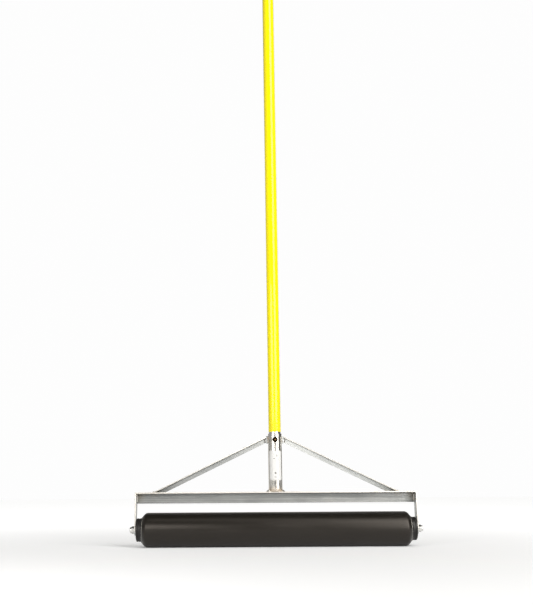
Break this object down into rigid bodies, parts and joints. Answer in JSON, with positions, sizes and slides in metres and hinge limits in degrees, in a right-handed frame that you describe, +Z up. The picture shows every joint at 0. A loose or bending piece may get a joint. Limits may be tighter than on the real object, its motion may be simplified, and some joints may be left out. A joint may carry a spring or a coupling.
{
  "type": "long-handled floor roller",
  "caption": "Wide smooth black rubber roller in a braced steel yoke, with a long yellow coated handle latched in a plated socket by a snap button.",
  "frame": {"origin": "on the ground line straight below the middle of the roller", "axes": "+X along the roller to its right end, +Z up along the handle, -Y the front, the side with the snap button and the label"},
  "size_m": [0.6626, 0.076, 1.702],
  "materials": {
    "rubber": "satin",
    "black_plastic": "satin",
    "bronze": "satin",
    "plated_steel": "satin",
    "bright_steel": "polished",
    "fastener_steel": "bright",
    "weld_steel": "rippled",
    "nylon": "satin",
    "label_film": "satin",
    "yellow_coat": "gloss"
  },
  "bodies": {
    "yoke": {"axle": "fastener_steel", "thrust_washer_left": "fastener_steel", "thrust_washer_right": "fastener_steel", "lock_nut_left": "fastener_steel", "lock_nut_right": "fastener_steel", "lock_rings": "nylon", "arm_left": "plated_steel", "arm_right": "plated_steel", "crossbar": "plated_steel", "arm_welds": "weld_steel", "brace_left": "plated_steel", "brace_right": "plated_steel", "brace_tab_left": "plated_steel", "brace_tab_right": "plated_steel", "brace_welds": "weld_steel", "handle_socket": "bright_steel", "socket_weld": "weld_steel", "label": "label_film", "handle_tube": "bright_steel", "handle_coat": "yellow_coat", "button_spring": "fastener_steel", "end_cap": "black_plastic"},
    "roller": {"roller_cover": "rubber", "core_tube": "plated_steel", "end_plug_left": "black_plastic", "end_plug_right": "black_plastic", "bush_left": "bronze", "bush_right": "bronze"},
    "button": {"snap_button": "bronze"}
  },
  "joints": [
    {"name": "roller_spin", "type": "hinge", "parent": "yoke", "child": "roller", "pos_m": [0, 0, 0.038], "axis": [1, 0, 0], "continuous": true},
    {"name": "button_press", "type": "slide", "parent": "yoke", "child": "button", "axis": [0, 1, 0], "range_m": [0, 0.0032], "stiffness_N_per_m": 900, "deforming": ["button_spring"]}
  ]
}
